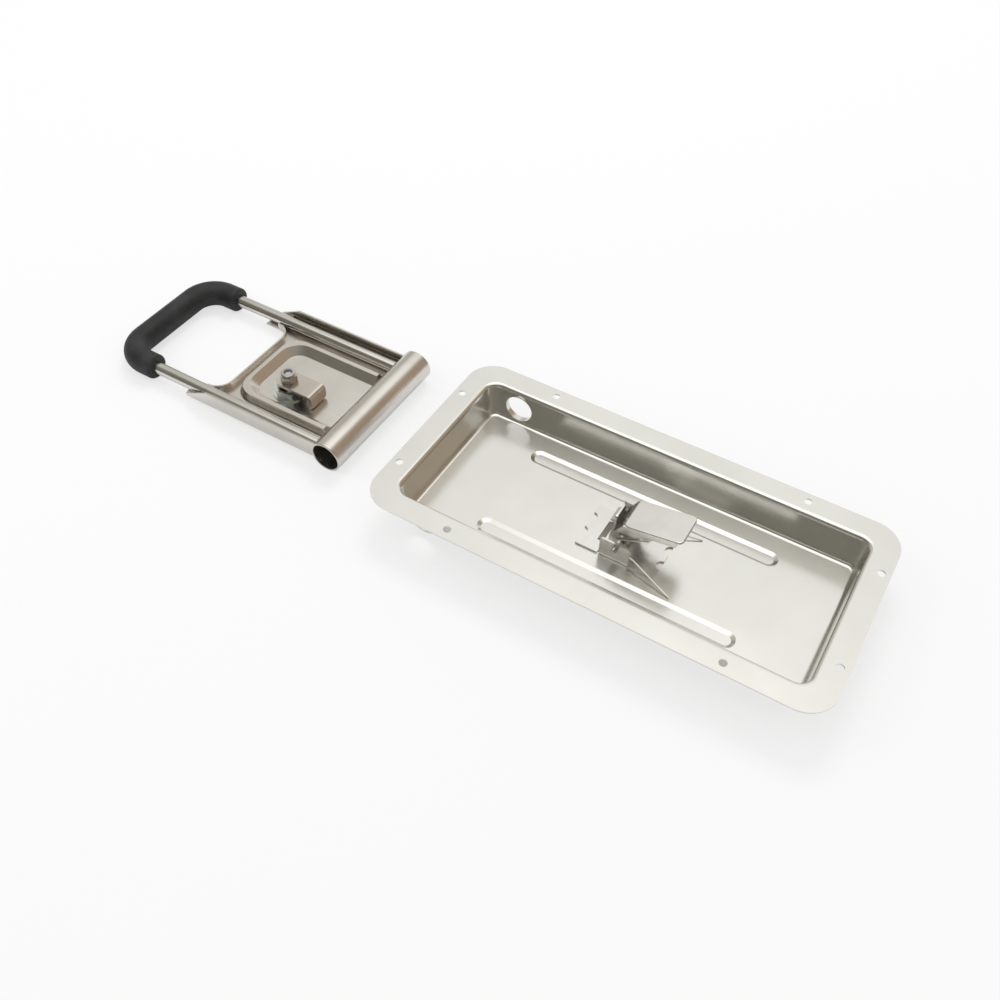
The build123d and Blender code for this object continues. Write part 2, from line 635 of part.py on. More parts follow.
def lock_plug():
    length = LOCK_TOP - PLUG_FRONT
    plug = Pos(0, 0, PLUG_FRONT + length / 2) * Cylinder(PLUG_DIAMETER / 2, length)
    drive_length = CAM_TOP - LOCK_TOP - DRIVE_FIT
    drive = Pos(0, 0, LOCK_TOP + drive_length / 2) * Box(DRIVE_SQUARE, DRIVE_SQUARE, drive_length)
    tail_length = NYLOC_TOP - TAIL_BELOW_TOP - LOCK_TOP
    tail = Pos(0, 0, LOCK_TOP + tail_length / 2) * Cylinder(TAIL_THREAD / 2, tail_length)
    tail = chamfer(tail.edges().sort_by(Axis.Z)[-1], TAIL_EDGE)
    keyway = Pos(0, 0, PLUG_FRONT) * Box(KEYWAY_LENGTH, KEYWAY_WIDTH, 2 * KEYWAY_DEPTH)
    plug = plug + drive + tail - keyway
    for place in wafer_places():
        slot = Box(2 * PLUG_DIAMETER, WAFER_WIDTH + 2 * DRIVE_FIT, WAFER_THICK + 2 * DRIVE_FIT)
        plug -= Pos(0, 0, place + WAFER_THICK / 2) * slot
    return LOCK * plug


def lock_wafers():
    solids = []
    blank = Circle(PLUG_DIAMETER / 2 - WAFER_PLAY) & Rectangle(PLUG_DIAMETER, WAFER_WIDTH)
    blank -= Rectangle(KEYWAY_LENGTH + WAFER_PLAY, KEYWAY_WIDTH + WAFER_PLAY)
    for place in wafer_places():
        solids += extrude(Pos(0, 0, place) * blank, WAFER_THICK).solids()
    return Compound(children=[LOCK * solid for solid in solids])


def square_hole(height):
    size = DRIVE_SQUARE + 2 * DRIVE_FIT
    return Box(size, size, height)


def cam_stop_washer():
    """Washer on the drive whose wider half meets the stop of the lock body."""
    wide_half = Pos(STOP_WASHER / 2, 0) * Rectangle(STOP_WASHER, 2 * STOP_WASHER)
    washer = Circle(STOP_WASHER / 2 - STOP_WASHER_STEP) + (Circle(STOP_WASHER / 2) & wide_half)
    body = extrude(washer, STOP_WASHER_THICK) - square_hole(8 * STOP_WASHER_THICK)
    return LOCK * Pos(0, 0, STOP_WASHER_BASE) * body


def cam_plate():
    """Cranked cam: a flat leg on the drive, bent down past the nut."""
    outline = Polyline(
        (CAM_HEEL, 0),
        (CAM_HEEL, CAM_THICK),
        (-CAM_REACH, CAM_THICK),
        (-CAM_REACH, CAM_THICK - CAM_DROP),
        (-CAM_REACH + CAM_THICK, CAM_THICK - CAM_DROP),
        (-CAM_REACH + CAM_THICK, 0),
        close=True,
    )
    body = extrude(Plane.XZ * make_face(outline), CAM_WIDTH / 2, both=True)
    bend_outside = Vector(-CAM_REACH, 0, CAM_THICK)
    bend_inside = Vector(-CAM_REACH + CAM_THICK, 0, 0)
    for corner, radius in ((bend_outside, CAM_BEND), (bend_inside, CAM_BEND - CAM_THICK)):
        across = body.edges().filter_by(Axis.Y)
        body = fillet(min(across, key=lambda edge: (edge.center() - corner).length), radius)
    body = chamfer(body.edges().filter_by(Axis.Z).group_by(Axis.X)[-1], CAM_HEEL_CORNER)
    tip = [edge for edge in body.edges().filter_by(Axis.X) if edge.center().Z < -CAM_THICK]
    body = fillet(tip, CAM_TIP_CORNER)
    return LOCK * Pos(0, 0, CAM_BASE) * (body - square_hole(8 * CAM_THICK))


def cam_washer():
    return LOCK * Pos(0, 0, CAM_TOP) * ring(CAM_WASHER, TAIL_THREAD + 2 * LOCK_FIT, CAM_WASHER_THICK)


def cam_nyloc_nut():
    blank = hexagon(NYLOC_FLATS, NYLOC_HEIGHT - NYLOC_COLLAR_HEIGHT, TAIL_THREAD + LOCK_FIT)
    collar = Cylinder(NYLOC_COLLAR / 2, NYLOC_COLLAR_HEIGHT)
    collar = fillet(collar.edges().sort_by(Axis.Z)[-1], NYLOC_COLLAR_ROUND)
    collar = Pos(0, 0, NYLOC_HEIGHT - NYLOC_COLLAR_HEIGHT / 2) * collar
    groove = Cylinder(INSERT_OUTER / 2, INSERT_HEIGHT)
    groove = Pos(0, 0, NYLOC_HEIGHT - NYLOC_ROLLED - INSERT_HEIGHT / 2) * groove
    thread = Cylinder((TAIL_THREAD + LOCK_FIT) / 2, 4 * NYLOC_HEIGHT)
    mouth = Pos(0, 0, NYLOC_HEIGHT) * Cylinder(NYLOC_MOUTH / 2, 3 * NYLOC_ROLLED)
    nut = blank + collar - groove - thread - mouth
    return LOCK * Pos(0, 0, NYLOC_BASE) * Rot(0, 0, NYLOC_TURN) * nut


def cam_nut_insert():
    height = INSERT_HEIGHT - 2 * INSERT_PLAY
    insert = ring(INSERT_OUTER - 2 * INSERT_PLAY, TAIL_THREAD + LOCK_FIT, height)
    return LOCK * Pos(0, 0, NYLOC_TOP - NYLOC_ROLLED - INSERT_HEIGHT + INSERT_PLAY) * insert


SUBPARTS = {
    "recess_pan": recess_pan,
    "catch_base": catch_base,
    "catch_pivot_pin": catch_pivot_pin,
    "paddle_lever": paddle_lever,
    "torsion_spring": torsion_spring,
    "pivot_tube": pivot_tube,
    "handle_shell": handle_shell,
    "handle_u_bar": handle_u_bar,
    "grip_sleeve": grip_sleeve,
    "weld_beads": weld_beads,
    "lock_housing": lock_housing,
    "lock_washer": lock_washer,
    "lock_nut": lock_nut,
    "lock_plug": lock_plug,
    "lock_wafers": lock_wafers,
    "cam_stop_washer": cam_stop_washer,
    "cam_plate": cam_plate,
    "cam_washer": cam_washer,
    "cam_nyloc_nut": cam_nyloc_nut,
    "cam_nut_insert": cam_nut_insert,
}

os.makedirs("parts", exist_ok=True)
for name, build in SUBPARTS.items():
    shape = build()
    shape.label = name
    export_step(shape, "parts/" + name + ".step")
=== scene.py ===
# %% [markdown]
# # A recessed paddle latch, dressed in Blender
# The set is door gear for a van: a pressed steel pan that sits flush in the door, a sprung
# paddle on the pan's floor, and a separate handle with a pivot tube, a rubber grip and a
# cylinder lock. The solids come from a CAD model, in metres. This script keeps their shapes
# and adds what CAD leaves out: metal that looks rolled, ground, pressed or plated, real weld
# seams and threads, a floor, soft light and a camera.

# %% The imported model, and its size before anything is added
import json
import math

import bpy
from mathutils import Matrix, Vector


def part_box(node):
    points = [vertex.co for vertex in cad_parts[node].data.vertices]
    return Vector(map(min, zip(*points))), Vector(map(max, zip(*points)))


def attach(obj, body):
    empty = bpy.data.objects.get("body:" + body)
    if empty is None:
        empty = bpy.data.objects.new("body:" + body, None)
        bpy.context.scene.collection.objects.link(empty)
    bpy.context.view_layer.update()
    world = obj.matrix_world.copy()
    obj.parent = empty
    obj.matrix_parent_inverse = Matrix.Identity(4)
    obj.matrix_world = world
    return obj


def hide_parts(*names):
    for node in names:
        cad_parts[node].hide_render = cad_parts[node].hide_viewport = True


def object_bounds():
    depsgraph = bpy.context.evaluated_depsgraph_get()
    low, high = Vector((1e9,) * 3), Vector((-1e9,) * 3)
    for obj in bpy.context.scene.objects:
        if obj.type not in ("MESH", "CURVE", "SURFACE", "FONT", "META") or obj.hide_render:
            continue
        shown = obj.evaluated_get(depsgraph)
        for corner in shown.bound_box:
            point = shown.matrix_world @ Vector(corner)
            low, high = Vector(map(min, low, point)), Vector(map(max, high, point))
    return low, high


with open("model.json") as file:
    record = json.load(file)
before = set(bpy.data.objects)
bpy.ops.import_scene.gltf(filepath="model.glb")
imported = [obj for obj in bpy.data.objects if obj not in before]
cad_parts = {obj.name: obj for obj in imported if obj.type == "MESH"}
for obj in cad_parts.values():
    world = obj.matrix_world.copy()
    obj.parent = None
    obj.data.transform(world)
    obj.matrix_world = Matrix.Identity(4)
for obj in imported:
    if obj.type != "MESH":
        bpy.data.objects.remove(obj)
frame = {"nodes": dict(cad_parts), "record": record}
cad_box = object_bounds()
print("CAD box:", cad_box)

# %% [markdown]
# ## Arithmetic on sockets
# A shader tree is a small program, but drawn as boxes it is hard to read. Here one class wraps
# an output socket, so that `1 - mask * 0.4` adds the two Math nodes that it needs. Colours
# don't go through it, because a Math node would turn them grey.


# %% A socket that can be calculated with
class Value:
    """An output socket of a node tree, used like a number."""

    def __init__(self, tree, socket):
        self.tree = tree
        self.socket = socket

    def math(self, operation, *terms):
        node = self.tree.nodes.new("ShaderNodeMath")
        node.operation = operation
        for place, term in enumerate(terms):
            plug(self.tree, node.inputs[place], term)
        return Value(self.tree, node.outputs[0])

    def __add__(self, other):
        return self.math("ADD", self, other)

    def __sub__(self, other):
        return self.math("SUBTRACT", self, other)

    def __rsub__(self, other):
        return self.math("SUBTRACT", other, self)

    def __mul__(self, other):
        return self.math("MULTIPLY", self, other)

    def smooth(self, low, high):
        """0 below low, 1 above high, with a soft step between them."""
        node = self.tree.nodes.new("ShaderNodeMapRange")
        node.interpolation_type = "SMOOTHSTEP"
        for name, term in (("Value", self), ("From Min", low), ("From Max", high)):
            plug(self.tree, node.inputs[name], term)
        return Value(self.tree, node.outputs["Result"])

    __radd__ = __add__
    __rmul__ = __mul__


def plug(tree, target, term):
    """Links a Value to an input, or writes a plain number or colour on it."""
    if isinstance(term, Value):
        tree.links.new(term.socket, target)
    else:
        target.default_value = term


# %% [markdown]
# ## One place where nodes are made
# Every other node comes from one method: the node's type, then its settings, then its sockets.
# A finish starts as an empty tree with one Principled shader.


# %% A node tree with a short way to add nodes
class Tree:
    def __init__(self, owner):
        owner.use_nodes = True
        self.tree = owner.node_tree
        self.tree.nodes.clear()

    def node(self, kind, settings=None, out=0, **sockets):
        node = self.tree.nodes.new(kind)
        for name, value in (settings or {}).items():
            if name == "stops":
                ramp = node.color_ramp
                for extra in value[2:]:
                    ramp.elements.new(extra[0])
                for element, (place, colour) in zip(ramp.elements, value):
                    element.position = place
                    element.color = colour
            else:
                setattr(node, name, value)
        for name, term in sockets.items():
            key = name.replace("_", " ")
            plug(self.tree, node.inputs[int(key[1:]) if key[1:].isdigit() else key], term)
        return None if out is None else Value(self.tree, node.outputs[out])

    def blend(self, factor, first, second):
        """Two colours mixed by a number."""
        node = self.tree.nodes.new("ShaderNodeMix")
        node.data_type = "RGBA"
        for place, term in ((0, factor), (6, first), (7, second)):
            plug(self.tree, node.inputs[place], term)
        return Value(self.tree, node.outputs[2])

    def place(self, scale=(1, 1, 1)):
        """Object coordinates, stretched along each axis."""
        here = self.node("ShaderNodeTexCoord", out="Object")
        return self.node("ShaderNodeMapping", Vector=here, Scale=scale)

    def noise(self, where, scale, detail=2.0, roughness=0.5, seed=0.0):
        settings = {"noise_dimensions": "4D"}
        return self.node(
            "ShaderNodeTexNoise", settings, Vector=where, W=seed, Scale=scale, Detail=detail,
            Roughness=roughness,
        )


class Finish(Tree):
    def __init__(self, name, **constants):
        self.material = bpy.data.materials.new(name)
        super().__init__(self.material)
        self.shader = self.tree.nodes.new("ShaderNodeBsdfPrincipled")
        output = self.tree.nodes.new("ShaderNodeOutputMaterial")
        self.tree.links.new(self.shader.outputs[0], output.inputs[0])
        self.set(**constants)

    def set(self, **sockets):
        for name, term in sockets.items():
            plug(self.tree, self.shader.inputs[name.replace("_", " ")], term)

    def bump(self, height, distance, strength=1.0):
        """Small relief; the distance is in metres."""
        relief = self.node("ShaderNodeBump", Height=height, Distance=distance, Strength=strength)
        self.set(Normal=relief)


# %% [markdown]
# ## Stainless steel
# Stainless sheet is nearly colourless. What tells its pieces apart is the grain: a pressed pan
# is satin, with a fine roll grain in one direction and cloudy patches where the press stretched
# it; a tube is ground lengthwise; a drawn bar is bright with thin drawing lines. So one recipe
# takes the direction and the strength of the grain, and each piece gets its own numbers.


# %% The recipe for stainless
FINE_GRAIN = 3.1  # how much finer the second layer of grain is than the first
CLOUD_SCALE = 22.0  # clouds to a metre
GREASE_SCALE = 70.0  # greasy smears to a metre
GREASE_DULLS = 0.03  # what a smear adds to the roughness


def stainless(name, pale, deep, roughness, grain_scale, grain=0.06, cloud=0.05, relief=2e-7):
    """pale and deep are two colours of the same steel; grain_scale stretches the grain."""
    finish = Finish(name, Metallic=1.0)
    fine_scale = tuple(FINE_GRAIN * size for size in grain_scale)
    lines = finish.noise(finish.place(grain_scale), 1.0, 3.0, 0.65)
    fine = finish.noise(finish.place(fine_scale), 1.0, 2.0, 0.5, 4.0)
    clouds = finish.noise(finish.place(), CLOUD_SCALE, 3.0, 0.55, 7.0)
    grease = finish.noise(finish.place(), GREASE_SCALE, 4.0, 0.6, 2.0).smooth(0.55, 0.78)
    streak = lines * 0.6 + fine * 0.4
    shade = clouds.smooth(0.3, 0.7) * 0.6 + streak.smooth(0.3, 0.7) * 0.4
    uneven = (streak - 0.5) * grain + (clouds - 0.5) * cloud
    finish.set(Base_Color=finish.blend(shade, (*deep, 1), (*pale, 1)))
    finish.set(Roughness=roughness + uneven + grease * GREASE_DULLS)
    finish.bump(streak, relief)
    return finish


# %% Each stainless piece
# After the two colours come the roughness, the stretch of the grain along X, Y and Z, then how
# much grain and clouds change the roughness, and the depth of the grain.
finishes = {}
finishes["pan_stainless"] = stainless(
    "pan satin", (0.82, 0.81, 0.78), (0.76, 0.75, 0.71), 0.23, (60, 2600, 900), 0.05, 0.05, 1.2e-7
)
finishes["catch_stainless"] = stainless(
    "catch strip", (0.83, 0.82, 0.80), (0.70, 0.68, 0.65), 0.20, (2400, 120, 900), 0.08, 0.10
)
finishes["pin_steel"] = stainless(
    "turned pin", (0.74, 0.73, 0.71), (0.60, 0.58, 0.55), 0.18, (3000, 80, 3000)
)
finishes["spring_wire"] = stainless(
    "spring wire", (0.84, 0.82, 0.77), (0.70, 0.67, 0.62), 0.16, (900, 900, 900)
)
finishes["tube_stainless"] = stainless(
    "tube, ground along", (0.76, 0.73, 0.69), (0.66, 0.62, 0.58), 0.26, (2600, 40, 2600), 0.12, 0.06
)
finishes["shell_stainless"] = stainless(
    "shell satin", (0.77, 0.74, 0.70), (0.67, 0.63, 0.59), 0.25, (90, 2400, 900), 0.10, 0.09
)
finishes["bar_stainless"] = stainless(
    "drawn bar", (0.76, 0.74, 0.71), (0.64, 0.61, 0.57), 0.20, (40, 2600, 2600), 0.12, 0.05
)
finishes["cam_stainless"] = stainless(
    "cam strip", (0.74, 0.68, 0.62), (0.58, 0.52, 0.47), 0.24, (160, 2400, 900), 0.10, 0.12
)
finishes["small_nut_steel"] = stainless(
    "small nut", (0.70, 0.68, 0.65), (0.50, 0.48, 0.45), 0.28, (900, 900, 1500), 0.10, 0.14
)
finishes["lock_nickel"] = stainless(
    "lock nickel", (0.74, 0.73, 0.71), (0.60, 0.59, 0.57), 0.22, (700, 700, 2400), 0.06, 0.08
)
print("stainless finishes:", ", ".join(sorted(finishes)))

# %% [markdown]
# ## Zinc plate
# The big nut and its washer are zinc plated and passivated. That gives a cool, slightly blue
# metal with faint patches of straw and violet, and a surface full of tiny dimples.


# %% Blue zinc
def zinc():
    finish = Finish("blue zinc", Metallic=1.0)
    patches = finish.noise(finish.place(), 130.0, 3.0, 0.6, 3.0)
    tint = finish.node(
        "ShaderNodeValToRGB",
        {"stops": [
            (0.30, (0.56, 0.64, 0.70, 1)),
            (0.48, (0.70, 0.77, 0.79, 1)),
            (0.60, (0.79, 0.80, 0.74, 1)),
            (0.74, (0.70, 0.71, 0.80, 1)),
        ]},
        Fac=patches,
    )
    dimples = finish.noise(finish.place(), 2600.0, 2.0, 0.5, 9.0)
    finish.set(Base_Color=tint, Roughness=0.17 + patches * 0.12)
    finish.bump(dimples, 2e-5, 0.25)
    return finish


finishes["zinc_plate"] = zinc()

# %% [markdown]
# ## Rubber, nylon, brass and weld metal
# The sleeve is moulded rubber: black, matte, with a fine grain from the mould and a greyer
# film where hands and dust have been. The weld metal is bright, with a straw and blue tint.


# %% The grip's rubber
def rubber():
    finish = Finish("moulded rubber", Metallic=0.0, Specular_IOR_Level=0.42)
    film = finish.noise(finish.place(), 55.0, 4.0, 0.6, 1.0).smooth(0.35, 0.75)
    grain = finish.noise(finish.place(), 2100.0, 3.0, 0.6, 5.0)
    pits = finish.node("ShaderNodeTexVoronoi", Vector=finish.place(), Scale=1500.0)
    finish.set(Base_Color=finish.blend(film, (0.016, 0.016, 0.017, 1), (0.034, 0.035, 0.037, 1)))
    finish.set(Roughness=0.50 + grain * 0.10 + film * 0.06)
    finish.bump(grain * 0.7 + pits * 0.3, 6e-5, 0.30)
    return finish


finishes["grip_rubber"] = rubber()


# %% Nylon ring and brass wafers
def plain_solid(name, pale, deep, roughness, metallic, scale):
    finish = Finish(name, Metallic=metallic)
    mottle = finish.noise(finish.place(), scale, 3.0, 0.6)
    finish.set(Base_Color=finish.blend(mottle.smooth(0.3, 0.7), (*deep, 1), (*pale, 1)))
    finish.set(Roughness=roughness + mottle * 0.12)
    finish.bump(mottle, 2e-5, 0.2)
    return finish


finishes["nylon"] = plain_solid(
    "nylon ring", (0.33, 0.33, 0.34), (0.22, 0.22, 0.23), 0.42, 0.0, 900.0
)
finishes["wafer_brass"] = plain_solid(
    "stamped brass", (0.80, 0.64, 0.34), (0.66, 0.50, 0.25), 0.22, 1.0, 700.0
)


# %% Weld metal with its heat tint
def weld_metal():
    finish = Finish("weld metal", Metallic=1.0)
    heat = finish.noise(finish.place(), 210.0, 3.0, 0.6, 6.0)
    tint = finish.node(
        "ShaderNodeValToRGB",
        {"stops": [
            (0.30, (0.52, 0.50, 0.52, 1)),
            (0.46, (0.84, 0.80, 0.72, 1)),
            (0.62, (0.88, 0.86, 0.82, 1)),
            (0.78, (0.66, 0.60, 0.50, 1)),
        ]},
        Fac=heat,
    )
    finish.set(Base_Color=tint, Roughness=0.20 + heat * 0.2)
    finish.bump(finish.noise(finish.place(), 1500.0, 3.0, 0.6, 8.0), 4e-5, 0.35)
    return finish


finishes["weld_metal"] = weld_metal()
print("finishes in all:", len(finishes))

# %% [markdown]
# ## Giving the finishes to the CAD nodes
# The record names a material slot for every node, so the finishes are handed out by that name.

# %% Hand the finishes out
for part in frame["record"]["subparts"]:
    node = frame["nodes"][part["node"]]
    finish = finishes[part["material_slot"]]
    for place in node.material_slots:
        place.material = finish.material
    print(part["node"], "gets", finish.material.name)

# %% [markdown]
# ## Weld seams
# A weld isn't a ball: it is a row of small overlapping ripples, laid as the pool of metal moves
# along the joint. Geometry Nodes suit that, because a ripple repeats along a path. The path is a
# plain curve; the tree sets a point every fraction of a millimetre, puts a flattened drop on
# each, varies their sizes with a fixed seed, and joins them.


# %% Where the bars, the tube and the shell are, from the frame
def middle_of(node):
    low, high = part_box(node)
    return (low + high) / 2


tube_low, tube_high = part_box("pivot_tube")
tube_radius = (tube_high.x - tube_low.x) / 2
tube_axis = middle_of("pivot_tube")
bar_low, bar_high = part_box("handle_u_bar")
bar_radius = (bar_high.z - bar_low.z) / 2
bar_half_spacing = (bar_high.y - bar_low.y) / 2 - bar_radius
bar_axis = middle_of("handle_u_bar")
print("tube radius", tube_radius, "bar radius", bar_radius, "half spacing", bar_half_spacing)

MILLIMETRE = 0.001
WELD_RIPPLE = 1.15 * MILLIMETRE
WELD_STEP = 0.55 * MILLIMETRE


# %% A tree that lays ripples along a curve
def new_tree(name, numbers):
    """A Geometry Nodes group with named number inputs, and its two end nodes."""
    tree = bpy.data.node_groups.new(name, "GeometryNodeTree")
    tree.interface.new_socket("Geometry", in_out="INPUT", socket_type="NodeSocketGeometry")
    for label, value in numbers.items():
        kind = "NodeSocketInt" if isinstance(value, int) else "NodeSocketFloat"
        socket = tree.interface.new_socket(label, in_out="INPUT", socket_type=kind)
        socket.default_value = value
    tree.interface.new_socket("Geometry", in_out="OUTPUT", socket_type="NodeSocketGeometry")
    return tree, tree.nodes.new("NodeGroupInput"), tree.nodes.new("NodeGroupOutput")


def add(tree, kind, settings=None, **links):
    """One node; a link is another node's output socket or a plain value."""
    node = tree.nodes.new(kind)
    for name, value in (settings or {}).items():
        setattr(node, name, value)
    for name, term in links.items():
        target = node.inputs[name.replace("_", " ")]
        if isinstance(term, bpy.types.NodeSocket):
            tree.links.new(term, target)
        else:
            target.default_value = term
    return node


def ripple_tree(material):
    numbers = {"Step": WELD_STEP, "Ripple": WELD_RIPPLE, "Seed": 4}
    tree, start, end = new_tree("weld ripples", numbers)
    points = add(
        tree, "GeometryNodeResampleCurve", {"mode": "LENGTH"}, Curve=start.outputs["Geometry"],
        Length=start.outputs["Step"],
    )
    drop = add(tree, "GeometryNodeMeshIcoSphere", Radius=start.outputs["Ripple"], Subdivisions=2)
    tangent = add(tree, "GeometryNodeInputTangent")
    turn = add(tree, "FunctionNodeAlignRotationToVector", {"axis": "X"}, Vector=tangent.outputs[0])
    size = add(
        tree, "FunctionNodeRandomValue", {"data_type": "FLOAT_VECTOR"}, Min=(0.50, 0.86, 0.86),
        Max=(0.62, 1.12, 1.05), Seed=start.outputs["Seed"],
    )
    row = add(
        tree, "GeometryNodeInstanceOnPoints", Points=points.outputs[0], Instance=drop.outputs[0],
        Rotation=turn.outputs[0], Scale=size.outputs[0],
    )
    solid = add(tree, "GeometryNodeRealizeInstances", Geometry=row.outputs[0])
    smooth = add(tree, "GeometryNodeSetShadeSmooth", Geometry=solid.outputs[0])
    painted = add(tree, "GeometryNodeSetMaterial", Geometry=smooth.outputs[0], Material=material)
    tree.links.new(painted.outputs[0], end.inputs[0])
    return tree


# %% From paths to one plain mesh
def path_object(name, paths):
    """One curve object with a straight-sided spline through each list of points."""
    curve = bpy.data.curves.new(name, "CURVE")
    curve.dimensions = "3D"
    for points in paths:
        spline = curve.splines.new("POLY")
        spline.points.add(len(points) - 1)
        for place, point in zip(spline.points, points):
            place.co = (*point, 1.0)
    thing = bpy.data.objects.new(name, curve)
    bpy.context.collection.objects.link(thing)
    return thing


def realised(source, tree, name):
    """Evaluates the tree on the source and keeps the result as a plain mesh."""
    modifier = source.modifiers.new("nodes", "NODES")
    modifier.node_group = tree
    bpy.context.view_layer.update()
    ready = source.evaluated_get(bpy.context.evaluated_depsgraph_get())
    mesh = bpy.data.meshes.new_from_object(ready)
    piece = bpy.data.objects.new(name, mesh)
    bpy.context.collection.objects.link(piece)
    bpy.data.objects.remove(source)
    print(name, "has", len(mesh.polygons), "faces")
    return piece


# %% The seam round each bar leg
RING_STEPS = 18
RING_START = 10  # degrees from the side of the bar
RING_SWEEP = 160  # degrees
RING_OFF_BAR = 0.1 * MILLIMETRE
RING_OFF_TUBE = 0.4 * MILLIMETRE


def tube_side(height):
    """How far the round of the tube reaches from its axis at a height."""
    return math.sqrt(tube_radius**2 - (height - tube_axis.z) ** 2)


def bar_to_tube(side):
    """The upper part of the ring where a bar leg meets the round of the tube."""
    leg = bar_axis.y + side * bar_half_spacing
    points = []
    for step in range(RING_STEPS + 1):
        angle = math.radians(RING_START + RING_SWEEP * step / RING_STEPS)
        across_bar = bar_radius * math.cos(angle)
        height = bar_axis.z + (bar_radius + RING_OFF_BAR) * math.sin(angle)
        reach_out = tube_side(height) + RING_OFF_TUBE
        points.append((tube_axis.x - reach_out, leg + across_bar, height))
    return points


# %% The seams at the ridge and at the wings
RIDGE_MIDDLE = 33.5 * MILLIMETRE  # sideways from the middle of the tube
RIDGE_SEAM = 9.0 * MILLIMETRE  # length of the seam
RIDGE_RISE = 6.3 * MILLIMETRE  # above the sheet
RIDGE_GAP = 0.5 * MILLIMETRE  # off the round of the tube
BAR_PLAY = 0.05 * MILLIMETRE  # between the bar and the sheet under it
WING_SEAM_START = 127.0 * MILLIMETRE  # from the tube's axis
WING_SEAM_END = 137.0 * MILLIMETRE
WING_OUT = 0.82  # of the bar's radius, sideways from its axis
WING_DOWN = 0.62  # of the bar's radius, below its axis
sheet_top = bar_low.z - BAR_PLAY


def ridge_to_tube(side):
    """A short seam across the end of the ridge, on the side of the tube."""
    height = sheet_top + RIDGE_RISE
    x = tube_axis.x - tube_side(height) - RIDGE_GAP
    y = tube_axis.y + side * RIDGE_MIDDLE
    return [(x, y - RIDGE_SEAM / 2, height), (x, y + RIDGE_SEAM / 2, height)]


def wing_to_bar(side):
    """A seam along the bar where the tapered wing lies against it."""
    y = bar_axis.y + side * (bar_half_spacing + bar_radius * WING_OUT)
    height = bar_axis.z - bar_radius * WING_DOWN
    return [(tube_axis.x - WING_SEAM_START, y, height), (tube_axis.x - WING_SEAM_END, y, height)]


seams = (bar_to_tube, ridge_to_tube, wing_to_bar)
weld_paths = [make(side) for side in (-1, 1) for make in seams]
weld_seams = realised(
    path_object("weld paths", weld_paths), ripple_tree(finishes["weld_metal"].material), "weld_seams"
)
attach(weld_seams, "handle")
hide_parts("weld_beads")

# %% [markdown]
# ## The thread above the big nut
# Only a turn and a half of the lock's thread shows above its nut. A thread is a helix, so the
# Spiral node draws it, a small six-sided profile is swept along it, and the two flats of the lock
# body are made by holding every point inside them.


# %% A thread from a spiral
THREAD_TURNS = 1.5
THREAD_RADIUS = 9.4 * MILLIMETRE
THREAD_HEIGHT = 1.4 * MILLIMETRE
TOOTH_RADIUS = 0.32 * MILLIMETRE
HALF_FLATS = 8.3 * MILLIMETRE


def thread_tree(material):
    numbers = {
        "Turns": THREAD_TURNS,
        "Radius": THREAD_RADIUS,
        "Height": THREAD_HEIGHT,
        "Tooth": TOOTH_RADIUS,
        "Flat": HALF_FLATS,
    }
    tree, start, end = new_tree("thread", numbers)
    spiral = add(
        tree, "GeometryNodeCurveSpiral", Resolution=64, Rotations=start.outputs["Turns"],
        Start_Radius=start.outputs["Radius"], End_Radius=start.outputs["Radius"],
        Height=start.outputs["Height"],
    )
    tooth = add(tree, "GeometryNodeCurvePrimitiveCircle", Resolution=6, Radius=start.outputs["Tooth"])
    sweep = add(
        tree, "GeometryNodeCurveToMesh", Curve=spiral.outputs[0], Profile_Curve=tooth.outputs[0],
        Fill_Caps=True,
    )
    place = add(tree, "GeometryNodeInputPosition")
    parts = add(tree, "ShaderNodeSeparateXYZ", Vector=place.outputs[0])
    low = add(tree, "ShaderNodeMath", {"operation": "MULTIPLY"})
    tree.links.new(start.outputs["Flat"], low.inputs[0])
    low.inputs[1].default_value = -1.0  # the flat on the other side
    held = add(
        tree, "ShaderNodeClamp", Value=parts.outputs["Y"], Min=low.outputs[0], Max=start.outputs["Flat"]
    )
    joined = add(
        tree, "ShaderNodeCombineXYZ", X=parts.outputs["X"], Y=held.outputs[0], Z=parts.outputs["Z"]
    )
    moved = add(tree, "GeometryNodeSetPosition", Geometry=sweep.outputs[0], Position=joined.outputs[0])
    solid = add(tree, "GeometryNodeRealizeInstances", Geometry=moved.outputs[0])
    painted = add(tree, "GeometryNodeSetMaterial", Geometry=solid.outputs[0], Material=material)
    tree.links.new(painted.outputs[0], end.inputs[0])
    return tree


lock_axis = middle_of("lock_nut")
nut_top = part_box("lock_nut")[1].z
body_thread = realised(
    path_object("thread seed", [[(0, 0, 0), (0, 0, MILLIMETRE)]]),
    thread_tree(finishes["lock_nickel"].material),
    "lock_thread",
)
body_thread.data.transform(Matrix.Translation((lock_axis.x, lock_axis.y, nut_top)))
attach(body_thread, "handle")

# %% [markdown]
# ## Floor and light
# The floor is plain and pale. The light is a soft studio. Steel mostly shows what stands round
# it, so the room has a white wall at the far side, a grey one on the left, a brown one on the
# right, a dark side behind the camera and a bright ceiling. Only glossy rays see those walls.
# Two soft boxes light the set and cast its shadow.

# %% Floor
FLOOR_REACH = 12.0
FLOOR_GAP = 0.1 * MILLIMETRE
FLOOR_GLOW = 0.66  # share of its own light where it is seen directly
FLOOR_GLOW_IN_GLOSS = 0.22  # and where it is seen in metal
floor_height = cad_box[0][2] - FLOOR_GAP
floor_sides = [(-1, -1), (1, -1), (1, 1), (-1, 1)]
floor_points = [(x * FLOOR_REACH, y * FLOOR_REACH, floor_height) for x, y in floor_sides]
floor_mesh = bpy.data.meshes.new("floor")
floor_mesh.from_pydata(floor_points, [], [(0, 1, 2, 3)])
floor = bpy.data.objects.new("floor", floor_mesh)
bpy.context.collection.objects.link(floor)

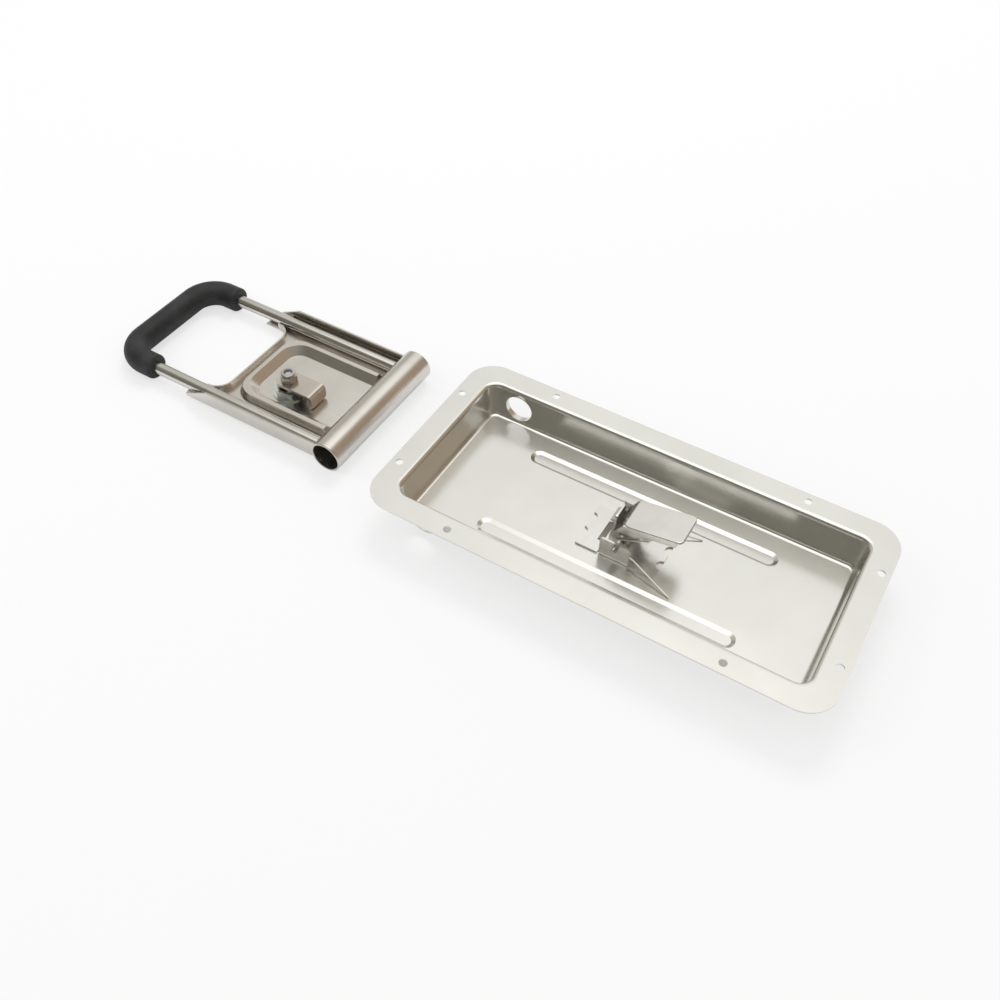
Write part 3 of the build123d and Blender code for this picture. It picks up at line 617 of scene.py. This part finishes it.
pale_floor = bpy.data.materials.new("pale floor")
floor_mesh.materials.append(pale_floor)
floor_tree = Tree(pale_floor)
seen_directly = floor_tree.node("ShaderNodeLightPath", out="Is Camera Ray")
seen_in_gloss = floor_tree.node("ShaderNodeLightPath", out="Is Glossy Ray")
matt = floor_tree.node("ShaderNodeBsdfDiffuse", Color=(0.90, 0.90, 0.90, 1))
glow = floor_tree.node("ShaderNodeEmission", Color=(1, 1, 1, 1), Strength=1.0)
share = seen_directly * FLOOR_GLOW + seen_in_gloss * FLOOR_GLOW_IN_GLOSS
surface = floor_tree.node("ShaderNodeMixShader", i0=share, i1=matt, i2=glow)
floor_tree.node("ShaderNodeOutputMaterial", out=None, Surface=surface)
print("floor at", floor_height)

# %% The room around it
WHITE_WALL = (0.95, 0.95, 0.92, 1)
GREY_WALL = (0.56, 0.55, 0.50, 1)
BROWN_WALL = (0.40, 0.32, 0.235, 1)
DARK_SIDE = (0.19, 0.18, 0.15, 1)
LIGHT_ABOVE = (1.65, 1.64, 1.60, 1)
EVEN_LIGHT = (0.74, 0.74, 0.74, 1)
WHITE_BACKDROP = (1, 1, 1, 1)

world = bpy.data.worlds.new("soft room")
bpy.context.scene.world = world
room = Tree(world)
direction = room.node("ShaderNodeTexCoord", out="Generated")
across, along, up = (room.node("ShaderNodeSeparateXYZ", out=axis, Vector=direction) for axis in "XYZ")
back = room.blend((across * -1.0).smooth(0.36, 0.66), WHITE_WALL, GREY_WALL)
back = room.blend(across.smooth(0.10, 0.46), back, BROWN_WALL)
round_about = room.blend(along.smooth(-0.55, 0.30), DARK_SIDE, back)
overhead = room.blend(up.smooth(0.79, 0.94), round_about, LIGHT_ABOVE)
camera_ray = room.node("ShaderNodeLightPath", out="Is Camera Ray")
glossy_ray = room.node("ShaderNodeLightPath", out="Is Glossy Ray")
plain = room.blend(camera_ray, EVEN_LIGHT, WHITE_BACKDROP)
colour = room.blend(glossy_ray, plain, overhead)
background = room.node("ShaderNodeBackground", Color=colour, Strength=1.0)
room.node("ShaderNodeOutputWorld", out=None, Surface=background)


# %% Soft boxes
def soft_box(name, place, aim, size, power):
    """An area lamp that lights the set but isn't seen in the metal."""
    data = bpy.data.lights.new(name, "AREA")
    data.shape = "RECTANGLE"
    data.size, data.size_y = size
    data.energy = power
    lamp = bpy.data.objects.new(name, data)
    bpy.context.collection.objects.link(lamp)
    lamp.location = place
    lamp.rotation_euler = (Vector(aim) - Vector(place)).to_track_quat("-Z", "Y").to_euler()
    lamp.visible_glossy = False
    print(name, "has", power, "W")


middle = Vector((-0.12, 0.0, 0.0))
soft_box("key soft box", (-0.55, 1.30, 1.90), middle, (1.0, 0.8), 16.0)
soft_box("side soft box", (-1.5, -0.6, 1.3), middle, (0.8, 0.8), 4.0)

# %% [markdown]
# ## Camera
# The camera stands at the near right of the set and looks down at it, 49 degrees below the
# horizon, through a moderately wide lens.

# %% Camera
lens = bpy.data.cameras.new("camera")
lens.lens = 36.713
lens.sensor_width = 36.0
camera = bpy.data.objects.new("camera", lens)
bpy.context.collection.objects.link(camera)
camera.location = (0.144789, -0.436629, 0.533982)
camera.rotation_euler = tuple(math.radians(angle) for angle in (40.8907, -1.0842, 30.8448))
bpy.context.scene.camera = camera
print("camera at", tuple(camera.location))

# %% Colour as it is written
bpy.context.scene.view_settings.view_transform = "Standard"
